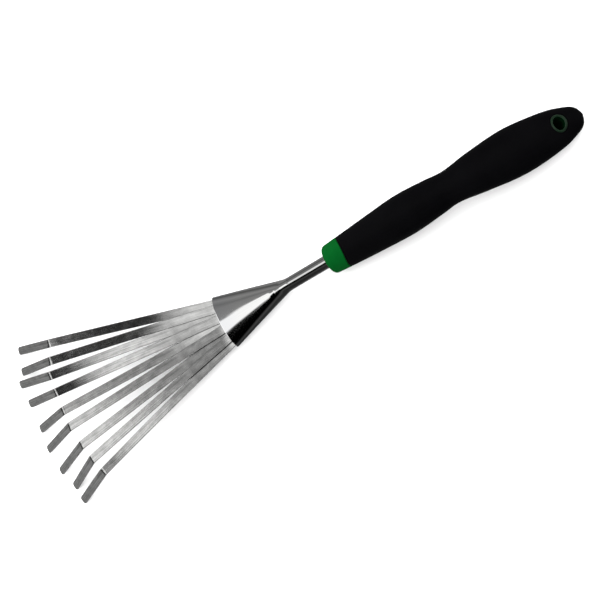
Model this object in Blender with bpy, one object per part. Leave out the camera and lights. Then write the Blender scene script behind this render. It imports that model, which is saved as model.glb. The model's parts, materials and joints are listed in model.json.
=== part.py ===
"""Hand rake: nine sprung steel tines held in a flared ferrule on a tube with a moulded handle.

Lengths are in millimetres and are scaled to metres when the meshes are made.
The tool is drawn along X with the ferrule's mouth at x = 0, the tines towards -X and the handle
towards +X, then laid down on its tine tips and its grip with the middle of its box at the origin.
"""
import math

import bmesh
import bpy
from mathutils import Matrix, Vector

MM = 0.001
GAP = 0.3                      # clearance between pieces that touch

# Tines, numbered from the +Y side. Each is bent from strip and takes its own set in the press.
TINE_WIDTH = 6.1
TINE_THICKNESS = 0.9
TINE_PITCH_AT_MOUTH = 3.55     # sideways step from one tine to the next
LAYER_GAP = 0.4                # between the two overlapping layers of tines
TAIL_DEPTH = 19.0              # length of tail inside the ferrule
TAIL_END_WIDTH = 3.4
FAN_LIFT = math.radians(7.5)   # the fan rises from the line of the shaft
LIFT_LENGTH = 8.0
LAPPED_LENGTH = 30.0           # where neighbours still lie over each other
OUTER_TINE_DROOP = math.radians(3.2)
HOOK_LENGTH = 36.0
HOOK_BEND_RADIUS = 4.0
TIP_CORNER_RADIUS = 1.8
TINES = [
    # yaw, free length, twist, hook bend (degrees and mm)
    (15.5, 92.0, 5.0, 23.0),
    (11.5, 93.0, 2.0, 26.0),
    (8.7, 97.0, 13.0, 26.0),
    (4.7, 96.0, 11.0, 31.0),
    (0.3, 96.5, 0.0, 32.0),
    (-3.5, 96.0, -5.0, 30.0),
    (-8.5, 95.5, -6.0, 28.0),
    (-12.6, 94.0, -3.0, 31.0),
    (-16.1, 93.0, 2.0, 24.0),
]

# Ferrule: a sheet cone, flattened at the mouth and round at the neck
FERRULE_LENGTH = 54.5
FERRULE_WALL = 0.7
MOUTH_HALF_WIDTH = 19.3
MOUTH_HALF_HEIGHT = 4.0
MOUTH_BOW = 2.2                # the middle of the mouth stands this far towards the tines
MOUTH_SKEW = 0.04              # the mouth is trimmed a little off square
CONE_SLOPE = 0.285
NECK_HALF_HEIGHT = 4.5
THROAT_START = 34.0            # from here the round throat rises out of the cone's flat sides,
THROAT_FULL = 43.0             # and here it is as thick as the shaft
WING_START = 43.0              # from here the cone's sides flatten into wings beside the throat
WING_END_HALF_HEIGHT = 2.4
WING_EDGE = 14.0               # the higher, the sharper the crease between wing and throat
FILL_START = 4.0
FILL_END = 34.0
POCKET_DEPTH = 21.0

# Shaft: drawn tube, swaged down where it enters the ferrule
SHAFT_RADIUS = 4.4
SHAFT_BORE_RADIUS = 3.4
SPIGOT_RADIUS = 3.35
SPIGOT_BORE_RADIUS = 2.4
SPIGOT_START = 43.0
SHAFT_END = 180.0
PLUG_LENGTH = 9.0
PLUG_HEAD = 2.0

# Handle: a stiff core, bare at the collar and around the hanging eye, under a soft overmould
COLLAR_START = 85.6
COLLAR_RADIUS = 10.1
COLLAR_CORNER = 2.6
GRIP_START = 97.7
GRIP_START_WAVE = 2.4          # the border with the collar stands back at the top and bottom
WAVE_FADE = 24.0
GRIP_WALL = 2.8
GRIP_OUTLINE = [
    (97.7, 10.8), (122.5, 12.5), (145.5, 13.6), (166.0, 12.3), (180.0, 11.15),
    (199.0, 13.7), (223.5, 15.8), (247.5, 13.4), (259.3, 10.1), (266.3, 6.3), (269.1, 0.0),
]
HANDLE_RISE = 3.0              # the front of the handle rises above the line of the shaft,
RISE_START = 97.7
RISE_END = 167.7
HANDLE_DROOP = 12.5            # and the palm end curves down below it
DROOP_START = 175.0
DROOP_END = 285.0
HANDLE_SIDES = 48
PALM_FLATNESS = 0.84           # height over width at the butt
FLATTEN_START = 140.0
FLATTEN_END = 250.0
EYE_X = 250.9
EYE_TILT = math.radians(28.0)  # the eye leans to stand square to the butt's upper side
EYE_HALF_LENGTH = 3.4
EYE_HALF_WIDTH = 4.4
EYE_RIM_WALL = 1.4

REST_PITCH = math.radians(2.4)  # turns the tool until the tips and the grip both touch down


def remove_everything():
    for item in list(bpy.data.objects):
        bpy.data.objects.remove(item, do_unlink=True)


def make_material(name, colour, roughness, metallic):
    material = bpy.data.materials.new(name)
    material.use_nodes = True
    shader = material.node_tree.nodes["Principled BSDF"]
    shader.inputs["Base Color"].default_value = (*colour, 1.0)
    shader.inputs["Roughness"].default_value = roughness
    shader.inputs["Metallic"].default_value = metallic
    return material


def add_object(name, mesh_data, material):
    """Scale a finished bmesh from millimetres, and link it as a named object."""
    bmesh.ops.recalc_face_normals(mesh_data, faces=mesh_data.faces)
    bmesh.ops.scale(mesh_data, vec=(MM, MM, MM), verts=mesh_data.verts)
    mesh = bpy.data.meshes.new(name)
    mesh_data.to_mesh(mesh)
    mesh_data.free()
    item = bpy.data.objects.new(name, mesh)
    bpy.context.scene.collection.objects.link(item)
    if material is not None:
        mesh.materials.append(material)
    return item


def skin(rings, loop=False):
    """Join rings of points into a closed skin.

    A ring of one point makes a pole. An open run is capped at both ends, and a loop is joined
    from its last ring back to its first.
    """
    mesh_data = bmesh.new()
    made = [[mesh_data.verts.new(point) for point in ring] for ring in rings]
    pairs = list(zip(made, made[1:]))
    if loop:
        pairs.append((made[-1], made[0]))
    for first, second in pairs:
        count = max(len(first), len(second))
        for i in range(count):
            j = (i + 1) % count
            if len(second) == 1:
                corners = [first[i], first[j], second[0]]
            elif len(first) == 1:
                corners = [first[0], second[j], second[i]]
            else:
                corners = [first[i], first[j], second[j], second[i]]
            mesh_data.faces.new(corners)
    if not loop:
        for end in (made[0], made[-1]):
            if len(end) > 2:
                mesh_data.faces.new(end)
    return mesh_data


def oval_ring(x, half_width, half_height, count, centre_z=0.0):
    """Points of an ellipse in the plane at x."""
    points = []
    for i in range(count):
        angle = 2.0 * math.pi * (i + 0.5) / count
        y = half_width * math.cos(angle)
        z = half_height * math.sin(angle)
        points.append(Vector((x, y, centre_z + z)))
    return points


def cylinder(radius, start, end, count):
    """A closed cylinder between two points."""
    along = Vector(end) - Vector(start)
    turn = along.to_track_quat("X", "Z").to_matrix()
    rings = []
    for distance in (0.0, along.length):
        flat = oval_ring(distance, radius, radius, count)
        rings.append([Vector(start) + turn @ point for point in flat])
    return skin(rings)


def smooth_step(value):
    value = min(max(value, 0.0), 1.0)
    return value * value * (3.0 - 2.0 * value)


def smooth_curve(points, steps):
    """A Catmull-Rom curve through 2-D points, as Vectors, with even steps between the points."""
    spots = [Vector(point) for point in points]
    padded = [2.0 * spots[0] - spots[1]] + spots + [Vector((spots[-1].x, -spots[-2].y))]
    curve = []
    for i in range(1, len(padded) - 2):
        before, start, end, after = padded[i - 1:i + 3]
        for k in range(steps):
            t = k / steps
            curve.append(0.5 * (
                2.0 * start
                + (end - before) * t
                + (2.0 * before - 5.0 * start + 4.0 * end - after) * t ** 2
                + (3.0 * start - before - 3.0 * end + after) * t ** 3
            ))
    curve.append(spots[-1])
    return curve


def inset_curve(curve, distance):
    """Shift a (x, radius) outline towards the axis; it still ends on the axis."""
    shifted = []
    for i, point in enumerate(curve):
        ahead = curve[min(i + 1, len(curve) - 1)]
        behind = curve[max(i - 1, 0)]
        run = (ahead - behind).normalized()
        if i == len(curve) - 1:
            run = Vector((0.0, -1.0))
        shifted.append(point + distance * Vector((run.y, -run.x)))
    shifted[-1].y = 0.0
    return shifted


def cut(item, cutter, operation="DIFFERENCE"):
    """Boolean with a hidden cutter that stays editable."""
    cutter.hide_render = True
    cutter.display_type = "WIRE"
    modifier = item.modifiers.new(operation.title(), "BOOLEAN")
    modifier.operation = operation
    modifier.solver = "EXACT"
    modifier.object = cutter


def shade_round(item, angle=35.0):
    item.data.shade_smooth()
    item.data.set_sharp_from_angle(angle=math.radians(angle))


# ---------------------------------------------------------------- tines

def strip_section(point, side, normal, half_width):
    """The four corners of the strip where its middle line passes a point."""
    half = 0.5 * TINE_THICKNESS
    return [
        point + side * half_width + normal * half,
        point - side * half_width + normal * half,
        point - side * half_width - normal * half,
        point + side * half_width - normal * half,
    ]


class StripWalk:
    """Walks along a strip's middle line and keeps a section wherever it has been."""

    def __init__(self, start, along, side, half_width):
        self.point = start
        self.along = along
        self.side = side
        self.half_width = half_width
        self.sections = []

    def mark(self, half_width=None):
        width = self.half_width if half_width is None else half_width
        normal = self.side.cross(self.along)
        self.sections.append(strip_section(self.point, self.side, normal, width))

    def go(self, length, rise=0.0, twist=0.0, steps=1):
        """Walk a length while the strip rises and twists evenly, marking each step."""
        for _ in range(steps):
            half_rise = Matrix.Rotation(0.5 * rise / steps, 3, self.side)
            self.along = half_rise @ self.along
            self.point = self.point + self.along * (length / steps)
            self.along = half_rise @ self.along
            self.side = Matrix.Rotation(twist / steps, 3, self.along) @ self.side
            self.mark()


def build_tine(number, yaw, free_length, twist, hook_bend, material):
    middle = (len(TINES) + 1) / 2
    place = middle - number
    outwards = place / (middle - 1)
    yaw = math.radians(yaw)
    along = Vector((-math.cos(yaw), math.sin(yaw), 0.0))
    side = Vector((math.sin(yaw), math.cos(yaw), 0.0))
    layer = 0.5 * (TINE_THICKNESS + LAYER_GAP) * (1 if number % 2 == 0 else -1)
    mouth = Vector((0.0, TINE_PITCH_AT_MOUTH * place, layer))

    half_width = 0.5 * TINE_WIDTH
    walk = StripWalk(mouth - along * TAIL_DEPTH, along, side, half_width)
    walk.mark(0.5 * TAIL_END_WIDTH)
    walk.go(TAIL_DEPTH)
    walk.go(LIFT_LENGTH, rise=FAN_LIFT, steps=4)
    walk.go(LAPPED_LENGTH)
    droop = OUTER_TINE_DROOP * outwards ** 2
    walk.go(free_length, rise=-droop, twist=-math.radians(twist), steps=6)
    bend = math.radians(hook_bend)
    walk.go(HOOK_BEND_RADIUS * bend, rise=-bend, steps=5)
    walk.go(HOOK_LENGTH - TIP_CORNER_RADIUS)
    corner_steps = 4
    reached = 0.0
    for k in range(1, corner_steps + 1):
        angle = 0.5 * math.pi * k / corner_steps
        forward = TIP_CORNER_RADIUS * math.sin(angle)
        walk.point = walk.point + walk.along * (forward - reached)
        reached = forward
        walk.mark(half_width - TIP_CORNER_RADIUS * (1.0 - math.cos(angle)))
    return add_object(f"tine_{number}", skin(walk.sections), material)


# ---------------------------------------------------------------- ferrule

def ferrule_ring(x, inset, count):
    """A ring of the ferrule: a flat oval cone with wings, and a round throat for the shaft.

    It is bowed towards the tines the more the nearer it is to the mouth.
    """
    half_width = MOUTH_HALF_WIDTH - CONE_SLOPE * x - inset
    half_height = MOUTH_HALF_HEIGHT + (NECK_HALF_HEIGHT - MOUTH_HALF_HEIGHT) * x / WING_START
    if x > WING_START:
        flatten = smooth_step((x - WING_START) / (FERRULE_LENGTH - WING_START))
        half_height = NECK_HALF_HEIGHT + (WING_END_HALF_HEIGHT - NECK_HALF_HEIGHT) * flatten
    half_height -= inset
    throat = SHAFT_RADIUS * smooth_step((x - THROAT_START) / (THROAT_FULL - THROAT_START)) - inset
    near_mouth = 1.0 - smooth_step(x / (0.5 * FERRULE_LENGTH))
    points = oval_ring(x, half_width, half_height, count)
    for point in points:
        reach = math.hypot(point.y, point.z)
        swell = (1.0 + (max(throat, 0.0) / reach) ** WING_EDGE) ** (1.0 / WING_EDGE)
        point.y *= swell
        point.z *= swell
        bow = MOUTH_BOW * (1.0 - (point.y / half_width) ** 2)
        point.x -= near_mouth * (bow + MOUTH_SKEW * point.y)
    return points


def build_ferrule(material):
    stations = [0.0, 8.0, 16.0, 24.0, 31.0, 37.0, 40.0, 43.0, 46.0, 48.5, 51.0, FERRULE_LENGTH]
    count = 64
    outside = [ferrule_ring(x, 0.0, count) for x in stations]
    inside = [ferrule_ring(x, FERRULE_WALL, count) for x in reversed(stations)]
    item = add_object("ferrule", skin(outside + inside, loop=True), material)
    shade_round(item)
    return item


def build_ferrule_fill(material):
    """The block that the tails are set in: it fills the cone, with a flat pocket for them."""
    stations = [FILL_START + (FILL_END - FILL_START) * k / 6 for k in range(7)]
    rings = [ferrule_ring(x, FERRULE_WALL + GAP, 32) for x in stations]
    item = add_object("ferrule_fill", skin(rings), material)

    pocket_half_height = TINE_THICKNESS + 0.5 * LAYER_GAP + GAP
    outer = TINES[0]
    reach = TINE_PITCH_AT_MOUTH * (len(TINES) - 1) / 2 + 0.5 * TINE_WIDTH + GAP
    narrowing = math.tan(math.radians(outer[0]))
    rings = []
    for x in (-2.0, POCKET_DEPTH):
        half_width = reach - narrowing * x
        rings.append([
            Vector((x, half_width, pocket_half_height)),
            Vector((x, -half_width, pocket_half_height)),
            Vector((x, -half_width, -pocket_half_height)),
            Vector((x, half_width, -pocket_half_height)),
        ])
    cut(item, add_object("fill_pocket_cutter", skin(rings), None))
    return item


# ---------------------------------------------------------------- shaft

def build_turned(name, outline, count, material):
    """Turn a closed (x, radius) outline that stays off the axis around X."""
    rings = [oval_ring(x, radius, radius, count) for x, radius in outline]
    item = add_object(name, skin(rings, loop=True), material)
    shade_round(item)
    return item


def build_shaft(material):
    shoulder = FERRULE_LENGTH + GAP
    outline = [
        (SPIGOT_START, SPIGOT_RADIUS),
        (shoulder, SPIGOT_RADIUS),
        (shoulder, SHAFT_RADIUS - 0.2),
        (shoulder + 0.6, SHAFT_RADIUS),
        (SHAFT_END, SHAFT_RADIUS),
        (SHAFT_END, SHAFT_BORE_RADIUS),
        (shoulder + 1.5, SHAFT_BORE_RADIUS),
        (shoulder - 1.5, SPIGOT_BORE_RADIUS),
        (SPIGOT_START, SPIGOT_BORE_RADIUS),
    ]
    return build_turned("shaft_tube", outline, 32, material)


def build_end_plug(material):
    """The stopper that keeps the moulded core out of the tube."""
    stem = SHAFT_BORE_RADIUS - GAP
    head_start = SHAFT_END + GAP
    outline = [
        (head_start - PLUG_LENGTH, stem - 0.8),
        (head_start - PLUG_LENGTH + 1.2, stem),
        (head_start, stem),
        (head_start, SHAFT_RADIUS - 0.1),
        (head_start + PLUG_HEAD, SHAFT_RADIUS - 0.1),
    ]
    rings = [oval_ring(x, radius, radius, 24) for x, radius in outline]
    item = add_object("shaft_end_plug", skin(rings), material)
    shade_round(item)
    return item


# ---------------------------------------------------------------- handle

def middle_height(x):
    """Height of the handle's middle line at x."""
    rise = HANDLE_RISE * smooth_step((x - RISE_START) / (RISE_END - RISE_START))
    return rise - HANDLE_DROOP * smooth_step((x - DROOP_START) / (DROOP_END - DROOP_START))


def flatness(x):
    part = smooth_step((x - FLATTEN_START) / (FLATTEN_END - FLATTEN_START))
    return 1.0 + (PALM_FLATNESS - 1.0) * part


def handle_ring(x, half_width, half_height, centre_z=0.0):
    """A ring of the handle, set back at its top and bottom near the border with the collar."""
    points = oval_ring(x, half_width, half_height, HANDLE_SIDES, centre_z)
    fade = 1.0 - smooth_step(abs(x - GRIP_START) / WAVE_FADE)
    for point in points:
        point.x += GRIP_START_WAVE * fade * ((point.z - centre_z) / half_height) ** 2
    return points


def handle_rings(curve, inset):
    """Rings of the handle's form for an outline that lies a known inset below its surface."""
    rings = []
    for x, radius in curve:
        if radius < 0.05:
            rings.append([Vector((x, 0.0, middle_height(x)))])
            continue
        half_height = max((radius + inset) * flatness(x) - inset, 0.6 * radius)
        rings.append(handle_ring(x, radius, half_height, middle_height(x)))
    return rings


def eye_bar(wall, reach):
    """A closed oval bar along the eye's axis, a wall thickness larger than the eye itself."""
    turn = Matrix.Rotation(EYE_TILT, 3, "Y")
    centre = Vector((EYE_X, 0.0, middle_height(EYE_X)))
    count = 32
    rings = []
    for end in (-reach, reach):
        ring = []
        for i in range(count):
            angle = 2.0 * math.pi * i / count
            out_x = (EYE_HALF_LENGTH + wall) * math.cos(angle)
            out_y = (EYE_HALF_WIDTH + wall) * math.sin(angle)
            ring.append(centre + turn @ Vector((out_x, out_y, end)))
        rings.append(ring)
    return skin(rings)


def build_core(material):
    curve = inset_curve(smooth_curve(GRIP_OUTLINE, 3), GRIP_WALL)
    step = GRIP_START - GAP
    behind_collar = [point for point in curve if point.x > step + 1.0]
    collar_back = GRIP_OUTLINE[0][1]
    core_radius = collar_back - GRIP_WALL

    rings = []
    corner_steps = 4
    for k in range(corner_steps + 1):
        angle = 0.5 * math.pi * k / corner_steps
        x = COLLAR_START + COLLAR_CORNER * (1.0 - math.cos(angle))
        radius = COLLAR_RADIUS - COLLAR_CORNER * (1.0 - math.sin(angle))
        rings.append(oval_ring(x, radius, radius, HANDLE_SIDES))
    rings.append(handle_ring(step, collar_back, collar_back))
    rings.append(handle_ring(step, core_radius, core_radius))
    rings += handle_rings(behind_collar, GRIP_WALL)
    item = add_object("handle_core", skin(rings), material)

    rim = add_object("eye_rim_stock", eye_bar(EYE_RIM_WALL, 20.0), None)
    form = add_object("eye_rim_form", handle_form(0.0), None)
    form.hide_render = True
    form.display_type = "WIRE"
    cut(rim, form, "INTERSECT")
    cut(item, rim, "UNION")
    bore = cylinder(SHAFT_RADIUS + GAP, (COLLAR_START - 2.0, 0, 0),
                    (SHAFT_END + PLUG_HEAD + 2 * GAP, 0, 0), 32)
    cut(item, add_object("shaft_bore_cutter", bore, None))
    cut(item, add_object("eye_cutter", eye_bar(0.0, 22.0), None))
    shade_round(item)
    return item


def handle_form(inset):
    """The handle behind the collar as a closed skin, its front face drawn out to a small ring."""
    curve = smooth_curve(GRIP_OUTLINE, 3)
    front_x = GRIP_START
    if inset:
        curve = inset_curve(curve, inset)
        curve[0].x = GRIP_START
        front_x = GRIP_START - 4.0
    front = handle_ring(front_x, 0.5 * SHAFT_RADIUS, 0.5 * SHAFT_RADIUS)
    return skin([front] + handle_rings(curve, inset))


def build_grip(material):
    item = add_object("grip_overmould", handle_form(0.0), material)
    cut(item, add_object("grip_cavity_cutter", handle_form(GRIP_WALL - GAP), None))
    cut(item, add_object("eye_socket_cutter", eye_bar(EYE_RIM_WALL + GAP, 22.0), None))
    shade_round(item)
    return item


# ---------------------------------------------------------------- assembly

def lay_down(items):
    """Turn the tool onto its tips and grip, and put the middle of its footprint at the origin."""
    turn = Matrix.Rotation(REST_PITCH, 4, "Y").inverted()
    for item in items:
        item.data.transform(turn)
    bpy.context.view_layer.update()
    shown = [item for item in items if not item.hide_render]
    corners = [vertex.co for item in shown for vertex in item.data.vertices]
    low = Vector([min(corner[axis] for corner in corners) for axis in range(3)])
    high = Vector([max(corner[axis] for corner in corners) for axis in range(3)])
    shift = Matrix.Translation((-0.5 * (low.x + high.x), -0.5 * (low.y + high.y), -low.z))
    for item in items:
        item.data.transform(shift)


def main():
    remove_everything()
    tine_steel = make_material("tine_steel", (0.62, 0.62, 0.61), 0.35, 1.0)
    ferrule_steel = make_material("ferrule_steel", (0.66, 0.66, 0.66), 0.18, 1.0)
    tube_steel = make_material("tube_steel", (0.64, 0.64, 0.63), 0.22, 1.0)
    fill_resin = make_material("fill_resin", (0.05, 0.05, 0.05), 0.6, 0.0)
    plug_plastic = make_material("plug_plastic", (0.12, 0.12, 0.12), 0.5, 0.0)
    green_plastic = make_material("green_plastic", (0.01, 0.14, 0.02), 0.4, 0.0)
    black_rubber = make_material("black_rubber", (0.008, 0.008, 0.009), 0.6, 0.0)

    for number, (yaw, free_length, twist, hook_bend) in enumerate(TINES, start=1):
        build_tine(number, yaw, free_length, twist, hook_bend, tine_steel)
    build_ferrule(ferrule_steel)
    build_ferrule_fill(fill_resin)
    build_shaft(tube_steel)
    build_end_plug(plug_plastic)
    build_core(green_plastic)
    build_grip(black_rubber)
    lay_down(list(bpy.data.objects))


main()
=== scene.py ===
import json
import math

import bmesh
import bpy
from mathutils import Matrix, Vector


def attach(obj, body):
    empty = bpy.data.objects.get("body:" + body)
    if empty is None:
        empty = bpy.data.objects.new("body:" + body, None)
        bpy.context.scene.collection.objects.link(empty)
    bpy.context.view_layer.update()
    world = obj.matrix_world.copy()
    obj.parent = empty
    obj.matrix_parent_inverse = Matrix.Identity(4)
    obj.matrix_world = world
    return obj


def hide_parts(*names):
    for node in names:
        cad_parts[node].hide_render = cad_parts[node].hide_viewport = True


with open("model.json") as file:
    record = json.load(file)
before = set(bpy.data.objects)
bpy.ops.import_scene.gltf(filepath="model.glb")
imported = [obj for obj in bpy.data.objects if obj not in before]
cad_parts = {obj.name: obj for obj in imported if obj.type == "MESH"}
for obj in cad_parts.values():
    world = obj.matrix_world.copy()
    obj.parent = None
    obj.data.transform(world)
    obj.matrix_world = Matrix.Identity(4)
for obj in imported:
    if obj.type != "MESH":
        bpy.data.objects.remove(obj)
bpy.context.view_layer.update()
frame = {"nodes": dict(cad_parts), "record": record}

MM = 0.001
GAP = 0.3                      # between the parts of the handle, and around the shaft in it
SEAM = 0.08                    # between the ferrule's end and the tube's shoulder
METAL_EDGE = 0.06              # how much the edges of the ferrule and the tube are broken
FIRST_STATION = 1.0            # the handle's outline is followed from this far behind a step

# Tines, numbered from the +Y side
TINE_WIDTH = 6.1
TINE_THICKNESS = 0.9
TINE_EDGE_RADIUS = 0.2
FLAT_MARGIN = 0.08             # the flats have one more point this far from each rounded edge
TINE_PITCH_AT_MOUTH = 3.55
LAYER_GAP = 0.4
TAIL_DEPTH = 19.0
TAIL_END_WIDTH = 3.4
FAN_LIFT = math.radians(7.5)
LIFT_LENGTH = 8.0
LAPPED_LENGTH = 30.0
OUTER_TINE_DROOP = math.radians(3.2)
HOOK_LENGTH = 36.0
HOOK_BEND_RADIUS = 4.0
HOOK_BEND_SOFTNESS = 4.0       # the bend's outer face is drawn over a radius larger by this
TIP_CORNER_RADIUS = 1.8
TIP_CORNER_STEPS = 6
TINES = [
    # yaw, free length, twist and hook bend, in degrees and mm, then the small roll that the strip
    # has at the mouth, at its belly and at the bend, in degrees
    (15.5, 92.0, 5.0, 23.0, (4.3, 13.8, 10.8)),
    (11.5, 93.0, 2.0, 26.0, (1.8, 12.2, 9.8)),
    (8.7, 97.0, 13.0, 26.0, (2.0, 0.5, 0.0)),
    (4.7, 96.0, 11.0, 31.0, (2.0, 0.0, 3.2)),
    (0.3, 96.5, 0.0, 32.0, (4.8, -2.9, -3.4)),
    (-3.5, 96.0, -5.0, 30.0, (0.0, -1.0, 6.5)),
    (-8.5, 95.5, -6.0, 28.0, (-0.5, -0.7, 8.5)),
    (-12.6, 94.0, -3.0, 31.0, (-1.2, -0.3, 4.7)),
    (-16.1, 93.0, 2.0, 24.0, (1.5, -0.3, -6.5)),
]
BELLY = 0.55                   # where a tine's roll reaches its belly, from mouth to bend

# Ferrule
FERRULE_LENGTH = 54.5
FERRULE_WALL = 0.7
MOUTH_HALF_WIDTH = 19.3
MOUTH_HALF_HEIGHT = 4.0
MOUTH_BOW = 2.2
MOUTH_SKEW = 0.04
CONE_SLOPE = 0.285
NECK_HALF_HEIGHT = 4.5
THROAT_START = 34.0
THROAT_FULL = 43.0
WING_START = THROAT_FULL
WING_END_HALF_HEIGHT = 2.4
WING_EDGE = 14.0
BOW_LENGTH = 0.5 * FERRULE_LENGTH
LIP_LENGTH = 0.8               # the mouth's edge is pressed in a little over this length
LIP_DROP = 0.08
FERRULE_SIDES = 128
FERRULE_STATIONS = 48

# Shaft
SHAFT_RADIUS = 4.4
SHAFT_BORE_RADIUS = 3.4
SPIGOT_RADIUS = 3.35
SPIGOT_BORE_RADIUS = 2.4
SPIGOT_START = 43.0
BORE_TAPER = 1.5               # the bore narrows over this length on either side of the shoulder
SHAFT_END = 180.0
SHAFT_SIDES = 96
PLUG_HEAD = 2.0                # how far the plug's head stands out of the shaft's end

# Handle
COLLAR_START = 85.6
COLLAR_RADIUS = 10.1
COLLAR_CORNER = 2.6
COLLAR_CORNER_STEPS = 8
COLLAR_BORE_CHAMFER = 0.3
COLLAR_BACK_CHAMFER = (0.4, 0.3)       # along the handle and inwards
COLLAR_MOUNT_RADIUS = 6.1      # where the record's collar_front mount stands off the axis
GRIP_START = 97.7
GRIP_START_WAVE = 2.4
WAVE_FADE = 24.0
GRIP_WALL = 2.8
GRIP_LIP = 0.5
GRIP_LIP_STEPS = 4
GRIP_OUTLINE = [
    # x, half width
    (GRIP_START, 10.8), (122.5, 12.5), (145.5, 13.6), (166.0, 12.3), (180.0, 11.15),
    (199.0, 13.7), (223.5, 15.8), (247.5, 13.4), (259.3, 10.1), (266.3, 6.3), (269.1, 0.0),
]
OUTLINE_STEPS = 9
HANDLE_RISE = 3.0
RISE_START = GRIP_START
RISE_END = 167.7
HANDLE_DROOP = 12.5
DROOP_START = 175.0
DROOP_END = 285.0
HANDLE_SIDES = 96
POLE_RADIUS = 0.05             # an outline closer to the axis than this ends in one point
PALM_FLATNESS = 0.84
LEAST_FLATNESS = 0.6
FLATTEN_START = 140.0
FLATTEN_END = 250.0
EYE_X = 250.9
EYE_TILT = math.radians(28.0)
EYE_HALF_LENGTH = 3.4
EYE_HALF_WIDTH = 4.4
EYE_RIM_WALL = 1.4
EYE_RIM_PROFILE = [
    # part of the rim's wall, height over the grip's surface
    (1.0, -3.0), (1.0, -0.25), (0.93, -0.05), (0.78, 0.1), (0.55, 0.15), (0.32, 0.08),
    (0.14, -0.12), (0.04, -0.4), (0.0, -0.8),
]
EYE_SEAM = 0.1                 # between the rim and the grip
EYE_SIDES = 72
EYE_BAR_REACH = 22.0
SURFACE_SEARCH_REACH = 30.0
SURFACE_SEARCH_STEPS = 20

# Floor and key light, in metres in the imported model's frame
FLOOR_DROP = 0.0002            # the smooth meshes bulge this much below the CAD's
FLOOR_HALF_SIZE = 6.0
FLOOR_GREY = 0.86
KEY_LIGHT_SPOT = Vector((-0.2, 0.9, 1.2))
KEY_LIGHT_SIZE = 0.8
KEY_LIGHT_POWER = 6.0

# Camera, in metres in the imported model's frame
CAMERA_SPOT = Vector((0.24998, -0.16823, 0.74214))
CAMERA_AIM = Vector((0.00601, -0.01347, 0.012))
CAMERA_ROLL = math.radians(-85.52)
CAMERA_LENS = 72.0
CAMERA_SENSOR = 36.0
CAMERA_CLIP = (0.01, 50.0)


def place_tool():
    """The matrix from the tool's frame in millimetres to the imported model's, from a mount."""
    mount = next(m for m in frame["record"]["mounts"] if m["name"] == "collar_front")
    tool_x = -Vector(mount["axis"]).normalized()
    tool_y = Vector((0.0, 1.0, 0.0))
    tool_z = tool_x.cross(tool_y)
    turn = Matrix((tool_x, tool_y, tool_z)).transposed()
    origin = Vector(mount["pos_m"]) - turn @ Vector((COLLAR_START, 0.0, COLLAR_MOUNT_RADIUS)) * MM
    return Matrix.Translation(origin) @ turn.to_4x4() @ Matrix.Scale(MM, 4)


PLACE = place_tool()


# ---------------------------------------------------------------- meshes

def smooth_step(value):
    """Ease from 0 to 1 while the value goes from 0 to 1, and stay there beyond."""
    value = min(max(value, 0.0), 1.0)
    return value * value * (3.0 - 2.0 * value)


def skin(rings, loop=False):
    """Join rings of points into a skin, with a UV map in millimetres: u along, v around.

    A ring of one point makes a pole. An open run is capped at both ends, and a loop is joined
    from its last ring back to its first.
    """
    mesh_data = bmesh.new()
    uv_layer = mesh_data.loops.layers.uv.new("UVMap")
    made = [[mesh_data.verts.new(point) for point in ring] for ring in rings]
    widest = max(rings, key=lambda ring: sum((a - b).length for a, b in zip(ring, ring[1:])))
    around = [0.0]
    for i in range(len(widest)):
        around.append(around[-1] + (widest[(i + 1) % len(widest)] - widest[i]).length)
    order = list(range(len(rings)))
    if loop:
        order.append(0)
    along = 0.0
    for first, second in zip(order, order[1:]):
        next_along = along + (rings[second][0] - rings[first][0]).length
        a, b = made[first], made[second]
        for i in range(len(widest)):
            j = (i + 1) % len(widest)
            corners = [(a[i % len(a)], along, i), (a[j % len(a)], along, i + 1),
                       (b[j % len(b)], next_along, i + 1), (b[i % len(b)], next_along, i)]
            if len(a) == 1:
                del corners[1]
            if len(b) == 1:
                del corners[-2]
            face = mesh_data.faces.new([corner[0] for corner in corners])
            for face_loop, corner in zip(face.loops, corners):
                face_loop[uv_layer].uv = (corner[1], around[corner[2]])
        along = next_along
    if not loop:
        for end in (made[0], made[-1]):
            if len(end) > 2:
                mesh_data.faces.new(end)
    bmesh.ops.recalc_face_normals(mesh_data, faces=mesh_data.faces)
    return mesh_data


def add_object(name, mesh_data):
    """Make an object of a mesh that is given in the tool's frame."""
    mesh_data.transform(PLACE)
    mesh = bpy.data.meshes.new(name)
    mesh_data.to_mesh(mesh)
    mesh_data.free()
    item = bpy.data.objects.new(name, mesh)
    bpy.context.scene.collection.objects.link(item)
    return item


def cut(item, cutter_data):
    """Cut a closed skin out of an object, and keep the result as its mesh."""
    cutter = add_object("cutter", cutter_data)
    modifier = item.modifiers.new("Cut", "BOOLEAN")
    modifier.solver = "EXACT"
    modifier.object = cutter
    depsgraph = bpy.context.evaluated_depsgraph_get()
    result = bpy.data.meshes.new_from_object(item.evaluated_get(depsgraph))
    item.modifiers.clear()
    item.data = result
    bpy.data.objects.remove(cutter, do_unlink=True)


def show(item, material, node, sharp_angle=40.0):
    """Finish a piece: shade it, give it its material, and let it stand for its CAD node."""
    item.data.materials.clear()
    item.data.materials.append(material)
    item.data.shade_smooth()
    item.data.set_sharp_from_angle(angle=math.radians(sharp_angle))
    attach(item, "root")
    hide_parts(node)


def oval(x, half_width, half_height, count, centre_z=0.0):
    """Points of an ellipse in the plane at x."""
    points = []
    for i in range(count):
        angle = 2.0 * math.pi * (i + 0.5) / count
        y = half_width * math.cos(angle)
        z = half_height * math.sin(angle)
        points.append(Vector((x, y, centre_z + z)))
    return points


def turned(outline, count):
    """Rings of a (x, radius) outline turned around X."""
    return [oval(x, radius, radius, count) for x, radius in outline]


# ---------------------------------------------------------------- tines

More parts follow.
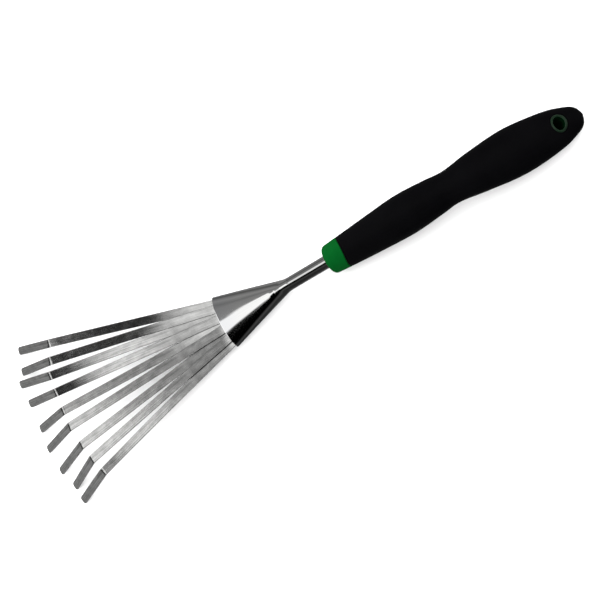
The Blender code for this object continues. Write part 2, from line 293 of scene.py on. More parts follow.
def strip_section(point, along, side, half_width):
    """The strip's cross-section: a thin rectangle with rounded edges.

    Each rounded edge has one more point on either side of it, so that shading stays flat between.
    """
    normal = side.cross(along)
    reach = half_width - TINE_EDGE_RADIUS
    rise = 0.5 * TINE_THICKNESS - TINE_EDGE_RADIUS
    corner = [(TINE_EDGE_RADIUS, -FLAT_MARGIN)]
    for degrees in (0.0, 30.0, 60.0, 90.0):
        angle = math.radians(degrees)
        corner.append((TINE_EDGE_RADIUS * math.cos(angle), TINE_EDGE_RADIUS * math.sin(angle)))
    corner.append((-FLAT_MARGIN, TINE_EDGE_RADIUS))
    points = []
    for side_sign, up_sign in ((1, 1), (-1, 1), (-1, -1), (1, -1)):
        ordered = corner if side_sign == up_sign else list(reversed(corner))
        for out, up in ordered:
            across = side * side_sign * (reach + out)
            points.append(point + across + normal * up_sign * (rise + up))
    return points


class StripWalk:
    """Walks along a strip's middle line and keeps a section wherever it has been."""

    def __init__(self, start, along, side, half_width, roll):
        self.point = start
        self.along = along
        self.side = side
        self.half_width = half_width
        self.roll = roll
        self.walked = -TAIL_DEPTH
        self.sections = []

    def mark(self, half_width=None):
        """Keep a section here, with the strip's small roll on top of the way it lies."""
        side = Matrix.Rotation(self.roll(self.walked), 3, self.along) @ self.side
        width = half_width or self.half_width
        self.sections.append(strip_section(self.point, self.along, side, width))

    def go(self, length, rise=0.0, twist=0.0, steps=1):
        """Walk a length while the strip rises and twists evenly, marking each step."""
        for _ in range(steps):
            half_rise = Matrix.Rotation(0.5 * rise / steps, 3, self.side)
            self.along = half_rise @ self.along
            self.point = self.point + self.along * (length / steps)
            self.along = half_rise @ self.along
            self.side = Matrix.Rotation(twist / steps, 3, self.along) @ self.side
            self.walked += length / steps
            self.mark()


def build_tine(number, yaw, free_length, twist, hook_bend, rolls, material):
    """One tine from its buried tail to its tip: the lift at the mouth, the belly and the hook."""
    middle = (len(TINES) + 1) / 2
    place = middle - number
    outwards = place / (middle - 1)
    yaw = math.radians(yaw)
    along = Vector((-math.cos(yaw), math.sin(yaw), 0.0))
    side = Vector((math.sin(yaw), math.cos(yaw), 0.0))
    layer = 0.5 * (TINE_THICKNESS + LAYER_GAP) * (1 if number % 2 == 0 else -1)
    mouth = Vector((0.0, TINE_PITCH_AT_MOUTH * place, layer))
    bend_at = LIFT_LENGTH + LAPPED_LENGTH + free_length

    def roll(walked):
        """The strip's small roll at a distance from the mouth; it fades out in the hook."""
        at_mouth, at_belly, at_bend = rolls
        part = walked / bend_at
        if part < BELLY:
            degrees = at_mouth + (at_belly - at_mouth) * smooth_step(part / BELLY)
        else:
            degrees = at_belly + (at_bend - at_belly) * smooth_step((part - BELLY) / (1.0 - BELLY))
        return -math.radians(degrees) * (1.0 - smooth_step((walked - bend_at) / HOOK_BEND_RADIUS))

    half_width = 0.5 * TINE_WIDTH
    walk = StripWalk(mouth - along * TAIL_DEPTH, along, side, half_width, roll)
    walk.mark(0.5 * TAIL_END_WIDTH)
    walk.go(TAIL_DEPTH)
    walk.go(LIFT_LENGTH, rise=FAN_LIFT, steps=8)
    walk.go(LAPPED_LENGTH, steps=12)
    droop = OUTER_TINE_DROOP * outwards ** 2
    bend = math.radians(hook_bend)
    early = HOOK_BEND_SOFTNESS * math.tan(0.5 * bend)
    walk.go(free_length - early, rise=-droop, twist=-math.radians(twist), steps=32)
    walk.go((HOOK_BEND_RADIUS + HOOK_BEND_SOFTNESS) * bend, rise=-bend, steps=16)
    walk.go(HOOK_LENGTH - early - TIP_CORNER_RADIUS, steps=8)
    reached = 0.0
    for k in range(1, TIP_CORNER_STEPS + 1):
        angle = 0.5 * math.pi * k / TIP_CORNER_STEPS
        forward = TIP_CORNER_RADIUS * math.sin(angle)
        walk.point = walk.point + walk.along * (forward - reached)
        reached = forward
        walk.mark(half_width - TIP_CORNER_RADIUS * (1.0 - math.cos(angle)))
    item = add_object(f"tine_{number}_strip", skin(walk.sections))
    show(item, material, f"tine_{number}")


# ---------------------------------------------------------------- ferrule

def ferrule_ring(x, inset):
    """A ring of the ferrule: a flat oval cone with wings, and a round throat for the shaft.

    It is bowed towards the tines the more the nearer it is to the mouth.
    """
    half_width = MOUTH_HALF_WIDTH - CONE_SLOPE * x - inset
    half_height = MOUTH_HALF_HEIGHT + (NECK_HALF_HEIGHT - MOUTH_HALF_HEIGHT) * x / WING_START
    if x > WING_START:
        flatten = smooth_step((x - WING_START) / (FERRULE_LENGTH - WING_START))
        half_height = NECK_HALF_HEIGHT + (WING_END_HALF_HEIGHT - NECK_HALF_HEIGHT) * flatten
    half_height -= inset
    throat = SHAFT_RADIUS * smooth_step((x - THROAT_START) / (THROAT_FULL - THROAT_START)) - inset
    near_mouth = 1.0 - smooth_step(x / BOW_LENGTH)
    points = oval(x, half_width, half_height, FERRULE_SIDES)
    for point in points:
        reach = math.hypot(point.y, point.z)
        swell = (1.0 + (max(throat, 0.0) / reach) ** WING_EDGE) ** (1.0 / WING_EDGE)
        point.y *= swell
        point.z *= swell
        bow = MOUTH_BOW * (1.0 - (point.y / half_width) ** 2)
        point.x -= near_mouth * (bow + MOUTH_SKEW * point.y)
    return points


def build_ferrule(material):
    """The shell, from its pressed-in lip along the outside to the neck and back inside."""
    edge = METAL_EDGE
    stations = [FERRULE_LENGTH * k / FERRULE_STATIONS for k in range(FERRULE_STATIONS + 1)]
    stations[0] = edge
    stations[-1] = FERRULE_LENGTH - edge
    # The lip's edge and slope, then a ring close behind it that keeps the shading flat beyond
    rings = [ferrule_ring(edge, LIP_DROP), ferrule_ring(2.0 * edge, 0.9 * LIP_DROP)]
    rings += [ferrule_ring(LIP_LENGTH, 0.0), ferrule_ring(LIP_LENGTH + edge, 0.0)]
    rings += [ferrule_ring(x, 0.0) for x in stations[1:]]
    rings.append(ferrule_ring(FERRULE_LENGTH, edge))
    rings.append(ferrule_ring(FERRULE_LENGTH, FERRULE_WALL))
    rings += [ferrule_ring(x, FERRULE_WALL) for x in reversed(stations)]
    rings.append(ferrule_ring(0.0, FERRULE_WALL - edge))
    rings.append(ferrule_ring(0.0, edge))
    item = add_object("ferrule_shell", skin(rings, loop=True))
    show(item, material, "ferrule", sharp_angle=50.0)


# ---------------------------------------------------------------- shaft

def build_shaft(material):
    """The tube, with a thinner spigot in the ferrule and a shoulder against its end."""
    shoulder = FERRULE_LENGTH + SEAM
    outline = [
        (SPIGOT_START, SPIGOT_RADIUS),
        (shoulder, SPIGOT_RADIUS),
        (shoulder, SHAFT_RADIUS - METAL_EDGE),
        (shoulder + METAL_EDGE, SHAFT_RADIUS),
        (SHAFT_END, SHAFT_RADIUS),
        (SHAFT_END, SHAFT_BORE_RADIUS),
        (shoulder + BORE_TAPER, SHAFT_BORE_RADIUS),
        (shoulder - BORE_TAPER, SPIGOT_BORE_RADIUS),
        (SPIGOT_START, SPIGOT_BORE_RADIUS),
    ]
    item = add_object("shaft_drawn_tube", skin(turned(outline, SHAFT_SIDES), loop=True))
    show(item, material, "shaft_tube")


# ---------------------------------------------------------------- handle

def smooth_curve(points, steps):
    """A Catmull-Rom curve through 2-D points, as Vectors, with even steps between the points.

    The last point lies on the axis, and the curve meets the axis squarely there.
    """
    spots = [Vector(point) for point in points]
    padded = [2.0 * spots[0] - spots[1]] + spots + [Vector((spots[-1].x, -spots[-2].y))]
    curve = []
    for i in range(1, len(padded) - 2):
        before, start, end, after = padded[i - 1:i + 3]
        for k in range(steps):
            t = k / steps
            curve.append(0.5 * (
                2.0 * start
                + (end - before) * t
                + (2.0 * before - 5.0 * start + 4.0 * end - after) * t ** 2
                + (3.0 * start - before - 3.0 * end + after) * t ** 3
            ))
    curve.append(spots[-1])
    return curve


def inset_curve(curve, distance):
    """Shift a (x, radius) outline towards the axis; it still ends on the axis."""
    shifted = []
    for i, point in enumerate(curve):
        ahead = curve[min(i + 1, len(curve) - 1)]
        behind = curve[max(i - 1, 0)]
        run = (ahead - behind).normalized()
        if i == len(curve) - 1:
            run = Vector((0.0, -1.0))
        shifted.append(point + distance * Vector((run.y, -run.x)))
    shifted[-1].y = 0.0
    return shifted


def middle_height(x):
    """Height of the handle's middle line at x."""
    rise = HANDLE_RISE * smooth_step((x - RISE_START) / (RISE_END - RISE_START))
    return rise - HANDLE_DROOP * smooth_step((x - DROOP_START) / (DROOP_END - DROOP_START))


def flatness(x):
    """How high the handle is at x, as a part of its width."""
    part = smooth_step((x - FLATTEN_START) / (FLATTEN_END - FLATTEN_START))
    return 1.0 + (PALM_FLATNESS - 1.0) * part


def handle_ring(x, half_width, half_height, centre_z=0.0):
    """A ring of the handle, set back at its top and bottom near the border with the collar."""
    points = oval(x, half_width, half_height, HANDLE_SIDES, centre_z)
    fade = 1.0 - smooth_step(abs(x - GRIP_START) / WAVE_FADE)
    for point in points:
        point.x += GRIP_START_WAVE * fade * ((point.z - centre_z) / half_height) ** 2
    return points


def handle_rings(curve, inset):
    """Rings of the handle's form for an outline that lies a known inset below its surface."""
    rings = []
    for x, radius in curve:
        if radius < POLE_RADIUS:
            rings.append([Vector((x, 0.0, middle_height(x)))])
            break
        half_height = max((radius + inset) * flatness(x) - inset, LEAST_FLATNESS * radius)
        rings.append(handle_ring(x, radius, half_height, middle_height(x)))
    return rings


OUTLINE = smooth_curve(GRIP_OUTLINE, OUTLINE_STEPS)


def outside_handle(point):
    """Whether a point lies outside the handle's form, near the butt."""
    for near, far in zip(OUTLINE, OUTLINE[1:]):
        if near.x <= point.x <= far.x:
            part = (point.x - near.x) / max(far.x - near.x, 1e-6)
            radius = near.y + part * (far.y - near.y)
            height = max(radius * flatness(point.x), 1e-6)
            off_middle = point.z - middle_height(point.x)
            return (point.y / radius) ** 2 + (off_middle / height) ** 2 > 1.0
    return True


def eye_oval(wall):
    """Points around the eye in the plane square to its axis through the handle's middle."""
    turn = Matrix.Rotation(EYE_TILT, 3, "Y")
    centre = Vector((EYE_X, 0.0, middle_height(EYE_X)))
    points = []
    for i in range(EYE_SIDES):
        angle = 2.0 * math.pi * i / EYE_SIDES
        out_x = (EYE_HALF_LENGTH + wall) * math.cos(angle)
        out_y = (EYE_HALF_WIDTH + wall) * math.sin(angle)
        points.append(centre + turn @ Vector((out_x, out_y, 0.0)))
    return points


def eye_axis():
    """The direction of the hanging eye, leaning towards the butt at its top."""
    return Matrix.Rotation(EYE_TILT, 3, "Y") @ Vector((0.0, 0.0, 1.0))


def eye_bar(wall):
    """A closed oval bar along the eye's axis, longer than the handle is high."""
    ends = (-EYE_BAR_REACH, EYE_BAR_REACH)
    return skin([[point + eye_axis() * end for point in eye_oval(wall)] for end in ends])


def surface_reach(spot, direction):
    """How far from a spot inside the handle its surface lies in a direction."""
    near, far = 0.0, SURFACE_SEARCH_REACH
    for _ in range(SURFACE_SEARCH_STEPS):
        half = 0.5 * (near + far)
        if outside_handle(spot + direction * half):
            far = half
        else:
            near = half
    return near


def eye_rim_rows():
    """Rows of points around the eye, from its rim's outer wall over the lip and down the hole."""
    rows = []
    for up, profile in ((1.0, EYE_RIM_PROFILE), (-1.0, reversed(EYE_RIM_PROFILE))):
        out = eye_axis() * up
        for part, lift in profile:
            spots = eye_oval(EYE_RIM_WALL * part)
            rows.append([spot + out * (surface_reach(spot, out) + lift) for spot in spots])
    return rows


def build_core(material):
    """The stiff core: its bore for the shaft, the collar in front and the body under the grip."""
    step = GRIP_START - GAP
    collar_back = GRIP_OUTLINE[0][1]
    core_radius = collar_back - GRIP_WALL
    bore = SHAFT_RADIUS + GAP
    bore_outline = [
        (SHAFT_END + PLUG_HEAD + 2.0 * GAP, bore),
        (COLLAR_START + COLLAR_BORE_CHAMFER, bore),
        (COLLAR_START, bore + COLLAR_BORE_CHAMFER),
    ]
    rings = turned(bore_outline, HANDLE_SIDES)
    for k in range(COLLAR_CORNER_STEPS + 1):
        angle = 0.5 * math.pi * k / COLLAR_CORNER_STEPS
        x = COLLAR_START + COLLAR_CORNER * (1.0 - math.cos(angle))
        radius = COLLAR_RADIUS - COLLAR_CORNER * (1.0 - math.sin(angle))
        rings.append(oval(x, radius, radius, HANDLE_SIDES))
    along, inwards = COLLAR_BACK_CHAMFER
    rings.append(handle_ring(step - along, collar_back, collar_back))
    rings.append(handle_ring(step, collar_back - inwards, collar_back - inwards))
    rings.append(handle_ring(step, core_radius, core_radius))
    body = [point for point in inset_curve(OUTLINE, GRIP_WALL) if point.x > step + FIRST_STATION]
    rings += handle_rings(body, GRIP_WALL)
    item = add_object("handle_green_core", skin(rings))
    cut(item, eye_bar(0.5 * EYE_RIM_WALL))
    show(item, material, "handle_core")


def build_eye_rim(rim_material, painted_shade_wall_material):
    """The green lip around the eye, with the wall down the hole in a darker material that is
    painted shade.
    """
    rows = eye_rim_rows()
    item = add_object("handle_eye_rim", skin(rows, loop=True))
    show(item, rim_material, "handle_core", sharp_angle=80.0)
    item.data.materials.append(painted_shade_wall_material)
    # The band down the hole gets the second material, with its painted shade
    wall_band = len(rows) // 2 - 1
    for face in item.data.polygons[wall_band * EYE_SIDES:(wall_band + 1) * EYE_SIDES]:
        face.material_index = 1


def build_grip(material):
    """The soft sleeve, from the closed end of its inside, over the front lip to the butt."""
    wall = GRIP_WALL - GAP
    front = GRIP_OUTLINE[0][1]
    inside = [point for point in inset_curve(OUTLINE, wall) if point.x > GRIP_START + FIRST_STATION]
    rings = handle_rings(inside, wall)[::-1]
    rings.append(handle_ring(GRIP_START, front - wall, front - wall))
    for k in range(1, GRIP_LIP_STEPS + 1):
        angle = 0.5 * math.pi * k / GRIP_LIP_STEPS
        radius = front - GRIP_LIP * (1.0 - math.sin(angle))
        rings.append(handle_ring(GRIP_START + GRIP_LIP * (1.0 - math.cos(angle)), radius, radius))
    rings += handle_rings(OUTLINE[1:], 0.0)
    item = add_object("grip_soft_sleeve", skin(rings))
    cut(item, eye_bar(EYE_RIM_WALL + EYE_SEAM))
    show(item, material, "grip_overmould", sharp_angle=50.0)


# ---------------------------------------------------------------- materials

class Nodes:
    """Adds nodes to a tree and sets or links their inputs by name."""

    def __init__(self, tree):
        self.tree = tree

    def add(self, kind, inputs, **settings):
        """Add a shader node of a kind, with its inputs and its own settings."""
        node = self.tree.nodes.new("ShaderNode" + kind)
        for name, value in settings.items():
            setattr(node, name, value)
        for name, value in inputs.items():
            self.put(node.inputs[name], value)
        return node

    def put(self, socket, value):
        """Link another node's output to a socket, or set the socket to a constant."""
        if isinstance(value, bpy.types.NodeSocket):
            self.tree.links.new(value, socket)
        else:
            socket.default_value = value

    def stretched(self, source, scale):
        """Texture coordinates scaled by a different amount along each axis."""
        return self.add("Mapping", {"Vector": source, "Scale": scale}).outputs["Vector"]

    def noise(self, vector, scale, detail=2.0, roughness=0.5):
        """A noise texture's value, mostly from 0.25 to 0.75."""
        inputs = {"Vector": vector, "Scale": scale, "Detail": detail, "Roughness": roughness}
        return self.add("TexNoise", inputs).outputs["Fac"]

    def ranged(self, value, low, high, start=0.25, end=0.75):
        """A texture value stretched from start..end to low..high."""
        inputs = {"Value": value, "From Min": start, "From Max": end, "To Min": low, "To Max": high}
        return self.add("MapRange", inputs).outputs["Result"]

    def blend(self, factor, first, second):
        """A mix of two colours, each of them three levels or another node's output."""
        node = self.add("Mix", {}, data_type="RGBA")
        self.put(node.inputs[0], factor)
        self.put(node.inputs[6], (*first, 1.0) if isinstance(first, tuple) else first)
        self.put(node.inputs[7], (*second, 1.0) if isinstance(second, tuple) else second)
        return node.outputs[2]

    def maths(self, operation, first, second):
        """The result of a maths operation on two values."""
        return self.add("Math", {0: first, 1: second}, operation=operation).outputs["Value"]

    def sum(self, first, second, share):
        """first, with a share of second added."""
        inputs = {0: second, 1: share, 2: first}
        return self.add("Math", inputs, operation="MULTIPLY_ADD").outputs["Value"]


def new_material(name):
    """A material, a helper that adds nodes to it, and its Principled shader."""
    material = bpy.data.materials.new(name)
    material.use_nodes = True
    shader = material.node_tree.nodes["Principled BSDF"]
    return material, Nodes(material.node_tree), shader


def bumped(nodes, shader, height, strength, depth):
    """Press a height pattern into a shader's surface, to a depth in millimetres."""
    bump = nodes.add("Bump", {"Height": height, "Strength": strength, "Distance": depth * MM})
    nodes.put(shader.inputs["Normal"], bump.outputs["Normal"])


def brushed_strip_steel():
    """Stainless strip, brushed along its length, with cloudy patches and small rubs."""
    material, nodes, shader = new_material("brushed_strip_steel")
    uv = nodes.add("TexCoord", {}).outputs["UV"]
    hairs = nodes.noise(nodes.stretched(uv, (0.05, 9.0, 1.0)), 1.0, detail=4.0, roughness=0.7)
    streaks = nodes.noise(nodes.stretched(uv, (0.035, 1.4, 1.0)), 1.0, detail=3.0)
    clouds = nodes.noise(nodes.stretched(uv, (0.14, 0.2, 1.0)), 1.0, detail=4.0)
    tone = nodes.ranged(nodes.sum(streaks, clouds, 0.8), 0.0, 1.0, 0.65, 1.15)
    dull, bright = (0.37, 0.37, 0.365), (0.66, 0.66, 0.65)
    nodes.put(shader.inputs["Base Color"], nodes.blend(tone, dull, bright))
    rubs = nodes.sum(hairs, clouds, 0.6)
    nodes.put(shader.inputs["Roughness"], nodes.ranged(rubs, 0.1, 0.22, 0.5, 1.1))
    shader.inputs["Metallic"].default_value = 1.0
    bumped(nodes, shader, nodes.sum(hairs, streaks, 1.0), strength=0.45, depth=0.012)
    return material


def polished_ferrule_steel():
    """Bright sheet with faint press marks along it, polished evenly near the mouth."""
    material, nodes, shader = new_material("polished_ferrule_steel")
    uv = nodes.add("TexCoord", {}).outputs["UV"]
    drag = nodes.noise(nodes.stretched(uv, (0.03, 0.9, 1.0)), 1.0, detail=3.0)
    clouds = nodes.noise(nodes.stretched(uv, (0.06, 0.06, 1.0)), 1.0, detail=2.0)
    tone = nodes.ranged(nodes.sum(drag, clouds, 0.7), 0.0, 1.0, 0.5, 1.2)
    dull, bright, at_mouth = (0.74, 0.74, 0.73), (0.82, 0.82, 0.81), (0.738, 0.741, 0.75)
    along = nodes.add("SeparateXYZ", {"Vector": uv}).outputs["X"]
    near_mouth = nodes.ranged(along, 1.0, 0.0, 4.0, 18.0)
    colour = nodes.blend(near_mouth, nodes.blend(tone, dull, bright), at_mouth)
    nodes.put(shader.inputs["Base Color"], colour)
    nodes.put(shader.inputs["Roughness"], nodes.ranged(drag, 0.025, 0.05))
    shader.inputs["Metallic"].default_value = 1.0
    bumped(nodes, shader, nodes.sum(drag, clouds, 1.0), strength=0.2, depth=0.012)
    return material


def drawn_tube_steel():
    """Bright tube with fine lines from the drawing die."""
    material, nodes, shader = new_material("drawn_tube_steel")
    uv = nodes.add("TexCoord", {}).outputs["UV"]
    lines = nodes.noise(nodes.stretched(uv, (0.02, 5.0, 1.0)), 1.0, detail=3.0)
    clouds = nodes.noise(nodes.stretched(uv, (0.08, 0.1, 1.0)), 1.0, detail=2.0)
    dull, bright = (0.57, 0.57, 0.565), (0.67, 0.67, 0.66)
    colour = nodes.blend(nodes.ranged(clouds, 0.0, 1.0), dull, bright)
    nodes.put(shader.inputs["Base Color"], colour)
    nodes.put(shader.inputs["Roughness"], nodes.ranged(lines, 0.04, 0.09))
    shader.inputs["Metallic"].default_value = 1.0
    bumped(nodes, shader, lines, strength=0.15, depth=0.008)
    return material


def green_moulded_plastic():
    """Satin green plastic with a fine moulded grain and slightly paler rubbed patches."""
    material, nodes, shader = new_material("green_moulded_plastic")
    spot = nodes.add("TexCoord", {}).outputs["Object"]
    grain = nodes.noise(spot, 2600.0, detail=2.0)
    clouds = nodes.noise(spot, 160.0, detail=3.0)
    deep, pale = (0.0004, 0.047, 0.0062), (0.0008, 0.055, 0.008)
    colour = nodes.blend(nodes.ranged(clouds, 0.0, 1.0), deep, pale)
    nodes.put(shader.inputs["Base Color"], colour)
    nodes.put(shader.inputs["Roughness"], nodes.ranged(clouds, 0.36, 0.5))
    shader.inputs["Specular IOR Level"].default_value = 0.008
    bumped(nodes, shader, nodes.sum(grain, clouds, 0.5), strength=0.2, depth=0.06)
    return material


def clouded_eye_plastic(name, cloud_scale, deep, pale, smoothest, roughest, specular):
    """The green plastic at the hanging eye, in two given tones clouded at random."""
    material, nodes, shader = new_material(name)
    spot = nodes.add("TexCoord", {}).outputs["Object"]
    clouds = nodes.noise(spot, cloud_scale, detail=3.0)
    colour = nodes.blend(nodes.ranged(clouds, 0.0, 1.0), deep, pale)
    nodes.put(shader.inputs["Base Color"], colour)
    nodes.put(shader.inputs["Roughness"], nodes.ranged(clouds, smoothest, roughest))
    shader.inputs["Specular IOR Level"].default_value = specular
    bumped(nodes, shader, clouds, strength=0.2, depth=0.05)
    return material


def dark_rim_plastic():
    """The lip around the eye: a darker green than the collar, with a glossier finish."""
    deep, pale = (0.0012, 0.008, 0.0025), (0.0025, 0.016, 0.005)
    return clouded_eye_plastic("dark_rim_plastic", 400.0, deep, pale, 0.26, 0.4, specular=0.4)


def painted_shade_wall_plastic():
    """The wall down the hole: a much darker green than the collar, painted shade for the depth of
    the hole, with a dull finish.
    """
    # Painted shade: the wall's green is darkened to stand for the shade down the hole
    deep, pale = (0.0004, 0.005, 0.0015), (0.0008, 0.01, 0.003)
    return clouded_eye_plastic("painted_shade_wall_plastic", 300.0, deep, pale, 0.7, 0.9, specular=0.0)


def black_soft_rubber():
    """Soft black overmould: a dull, finely pebbled skin with a little handling polish."""
    material, nodes, shader = new_material("black_soft_rubber")
    spot = nodes.add("TexCoord", {}).outputs["Object"]
    pebbles = nodes.add("TexVoronoi", {"Vector": spot, "Scale": 1900.0}, feature="SMOOTH_F1")
    grain = nodes.noise(spot, 3200.0, detail=2.0)
    clouds = nodes.noise(spot, 60.0, detail=4.0)
    deep, pale = (0.0006, 0.0005, 0.0009), (0.0011, 0.001, 0.0016)
    colour = nodes.blend(nodes.ranged(clouds, 0.0, 1.0), deep, pale)
    nodes.put(shader.inputs["Base Color"], colour)
    nodes.put(shader.inputs["Roughness"], nodes.ranged(clouds, 0.5, 0.66))
    shader.inputs["Specular IOR Level"].default_value = 0.05
    skin_height = nodes.sum(pebbles.outputs["Distance"], grain, 0.5)
    bumped(nodes, shader, skin_height, strength=0.3, depth=0.08)
    return material


def cast_resin():
    """Dark cast resin around the tails, with a rough poured surface."""
    material, nodes, shader = new_material("cast_resin")
    spot = nodes.add("TexCoord", {}).outputs["Object"]
    lumps = nodes.noise(spot, 500.0, detail=4.0)
    colour = nodes.blend(lumps, (0.02, 0.02, 0.02), (0.06, 0.055, 0.05))
    nodes.put(shader.inputs["Base Color"], colour)
    nodes.put(shader.inputs["Roughness"], nodes.ranged(lumps, 0.4, 0.7))
    bumped(nodes, shader, lumps, strength=0.4, depth=0.3)
    return material


def plug_moulded_plastic():
    """Plain grey plastic with a moulded grain."""
    material, nodes, shader = new_material("plug_moulded_plastic")
    spot = nodes.add("TexCoord", {}).outputs["Object"]
    grain = nodes.noise(spot, 1500.0, detail=3.0)
    colour = nodes.blend(grain, (0.09, 0.09, 0.09), (0.15, 0.15, 0.15))
    nodes.put(shader.inputs["Base Color"], colour)
    nodes.put(shader.inputs["Roughness"], nodes.ranged(grain, 0.42, 0.58))
    bumped(nodes, shader, grain, strength=0.2, depth=0.08)
    return material


# ---------------------------------------------------------------- studio

def build_floor():
    """A plain pale floor, which the metal doesn't mirror: the world's cards stand for it."""
    mesh_data = bmesh.new()
    bmesh.ops.create_grid(mesh_data, x_segments=1, y_segments=1, size=FLOOR_HALF_SIZE)
    mesh = bpy.data.meshes.new("floor")
    mesh_data.to_mesh(mesh)
    mesh_data.free()
    floor = bpy.data.objects.new("floor", mesh)
    floor.location.z = -FLOOR_DROP
    bpy.context.scene.collection.objects.link(floor)
    material, _, shader = new_material("pale_floor")
    shader.inputs["Base Color"].default_value = (FLOOR_GREY, FLOOR_GREY, FLOOR_GREY, 1.0)
    shader.inputs["Roughness"].default_value = 0.9
    shader.inputs["Specular IOR Level"].default_value = 0.0
    mesh.materials.append(material)
    floor.visible_glossy = False


def ramp(nodes, factor, stops):
    """A colour ramp through stops: a position from 0 to 1, and three levels there."""
    node = nodes.add("ValToRGB", {"Fac": factor})
    elements = node.color_ramp.elements
    while len(elements) > 1:
        elements.remove(elements[-1])
    elements[0].position = stops[0][0]
    elements[0].color = (*stops[0][1], 1.0)
    for position, levels in stops[1:]:
        elements.new(position).color = (*levels, 1.0)
    return node.outputs["Color"]


# What polished metal mirrors, as levels of grey by the angle around the tool's length: from
# straight down (-180) over the -Y side and the zenith (0) to the +Y side and down again (180)
STUDIO_AROUND = [
    (-180, 0.28), (-155, 0.24), (-135, 0.1), (-105, 0.035), (-88, 0.025), (-62, 0.03), (-55, 0.055),
    (-46, 0.06), (-38, 0.03), (-32, 0.0), (-1, 0.0), (6, 0.28), (16, 0.3), (22, 0.26), (30, 0.24),
    (35, 0.18), (45, 0.27), (54, 0.19), (61, 0.12), (70, 0.1), (88, 0.22), (105, 0.24), (150, 0.2),
    (180, 0.28),
]
# The white card overhead, by the X part of a direction: how far it reaches from its middle line
# to the -Y side and to the +Y side, and how soft its edges are, in degrees
CARD_SHAPE = [
    (-0.46, 6.0, 7.5, 1.0), (-0.44, 6.0, 11.5, 1.0), (-0.42, 8.5, 14.0, 1.2),
    (-0.4, 13.5, 15.0, 1.5), (-0.37, 17.0, 12.0, 2.0), (-0.34, 16.0, 11.0, 3.0),
    (-0.31, 13.0, 1.0, 4.5),
]
CARD_MIDDLE = math.radians(8.0)
CARD_SPAN = (-0.5, -0.3)
CARD_LEVEL = 1.2
# What polished metal mirrors in directions that lean far past the tips, as levels of grey by the
# X part: a dim room, a black card and a white one. It takes over from the rest across AHEAD_BLEND
STUDIO_AHEAD = [(-1.0, 0.31), (-0.92, 0.31), (-0.9, 0.0), (-0.76, 0.0), (-0.73, 1.4), (-0.5, 1.4)]
AHEAD_BLEND = (-0.58, -0.6)
# The strength of the even light on matte surfaces, by the Y part of a direction
EVEN_LIGHT = [(-1.0, 1.2), (1.0, 3.4)]


def white_card(nodes, angle, x_part):
    """How much of the white card overhead a direction meets, from 0 to 1."""
    start, end = CARD_SPAN
    stops = []
    for x, low, high, softness in CARD_SHAPE:
        reaches = [math.radians(degrees) for degrees in (low, high, softness)]
        stops.append(((x - start) / (end - start), reaches))
    shape = ramp(nodes, nodes.ranged(x_part, 0.0, 1.0, start, end), stops)
    low, high, softness = nodes.add("SeparateColor", {"Color": shape}).outputs
    from_middle = nodes.maths("SUBTRACT", angle, CARD_MIDDLE)
    covers = []
    for operation, reach in (("ADD", low), ("SUBTRACT", high)):
        inside = nodes.maths(operation, reach, from_middle)
        depth = nodes.maths("DIVIDE", inside, softness)
        covers.append(nodes.ranged(depth, 0.0, 1.0, -1.0, 1.0))
    return nodes.maths("MULTIPLY", *covers)


def grey_ramp(nodes, factor, places, start, end):
    """A ramp of grey levels, at places that lie between start and end."""
    stops = [((place - start) / (end - start), (level, level, level)) for place, level in places]
    return ramp(nodes, factor, stops)


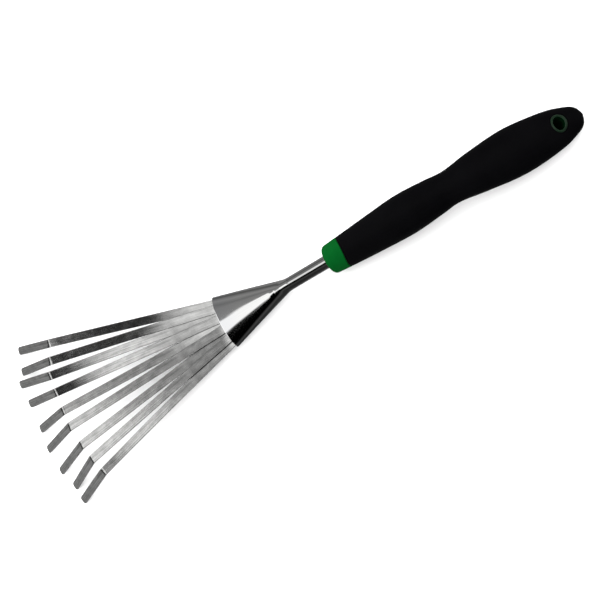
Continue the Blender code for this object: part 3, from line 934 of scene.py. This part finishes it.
def build_world():
    """Even white light for matte surfaces, and a studio of bright and dark cards for mirrors."""
    world = bpy.data.worlds.new("studio")
    world.use_nodes = True
    world.node_tree.nodes.clear()
    nodes = Nodes(world.node_tree)
    direction = nodes.add("TexCoord", {}).outputs["Generated"]
    x_part, y_part, z_part = nodes.add("SeparateXYZ", {"Vector": direction}).outputs
    angle = nodes.maths("ARCTAN2", y_part, z_part)
    turn = nodes.ranged(angle, 0.0, 1.0, -math.pi, math.pi)
    around = grey_ramp(nodes, turn, STUDIO_AROUND, -180.0, 180.0)
    card = white_card(nodes, angle, x_part)
    around = nodes.blend(card, around, (CARD_LEVEL, CARD_LEVEL, CARD_LEVEL))
    leaning = nodes.ranged(x_part, 0.0, 1.0, -1.0, 1.0)
    ahead = grey_ramp(nodes, leaning, STUDIO_AHEAD, -1.0, 1.0)
    cards = nodes.blend(nodes.ranged(x_part, 0.0, 1.0, *AHEAD_BLEND), around, ahead)
    mirrored = nodes.add("Background", {"Color": cards})
    (from_y, from_level), (to_y, to_level) = EVEN_LIGHT
    across = nodes.ranged(y_part, from_level, to_level, from_y, to_y)
    even = nodes.add("Background", {"Color": (1.0, 1.0, 1.0, 1.0), "Strength": across})
    path = nodes.add("LightPath", {})
    lights = {0: path.outputs["Is Glossy Ray"], 1: even.outputs[0], 2: mirrored.outputs[0]}
    chosen = nodes.add("MixShader", lights)
    nodes.add("OutputWorld", {"Surface": chosen.outputs[0]})
    bpy.context.scene.world = world


def build_key_light():
    """A round softbox over the +Y side, which the metal doesn't mirror either."""
    light = bpy.data.lights.new("key_light", "AREA")
    light.shape = "DISK"
    light.size = KEY_LIGHT_SIZE
    light.energy = KEY_LIGHT_POWER
    key_light = bpy.data.objects.new("key_light", light)
    bpy.context.scene.collection.objects.link(key_light)
    key_light.location = KEY_LIGHT_SPOT
    key_light.rotation_euler = (-KEY_LIGHT_SPOT).to_track_quat("-Z", "Y").to_euler()
    key_light.visible_glossy = False


def build_camera():
    """The camera at the photograph's angle."""
    camera_data = bpy.data.cameras.new("camera")
    camera_data.lens = CAMERA_LENS
    camera_data.sensor_width = CAMERA_SENSOR
    camera_data.clip_start, camera_data.clip_end = CAMERA_CLIP
    camera = bpy.data.objects.new("camera", camera_data)
    bpy.context.scene.collection.objects.link(camera)
    look = (CAMERA_AIM - CAMERA_SPOT).to_track_quat("-Z", "Y").to_matrix()
    turn = look @ Matrix.Rotation(CAMERA_ROLL, 3, "Z")
    camera.matrix_world = Matrix.Translation(CAMERA_SPOT) @ turn.to_4x4()
    bpy.context.scene.camera = camera


def main():
    """Build every piece with its material, then the studio around the tool."""
    strip_steel = brushed_strip_steel()
    for number, values in enumerate(TINES, start=1):
        build_tine(number, *values, strip_steel)
    build_ferrule(polished_ferrule_steel())
    build_shaft(drawn_tube_steel())
    build_core(green_moulded_plastic())
    build_eye_rim(dark_rim_plastic(), painted_shade_wall_plastic())
    build_grip(black_soft_rubber())
    hidden = {"ferrule_fill": cast_resin(), "shaft_end_plug": plug_moulded_plastic()}
    for node, material in hidden.items():
        frame["nodes"][node].data.materials[0] = material
    build_floor()
    build_world()
    build_key_light()
    build_camera()
    bpy.context.scene.view_settings.view_transform = "Standard"


main()
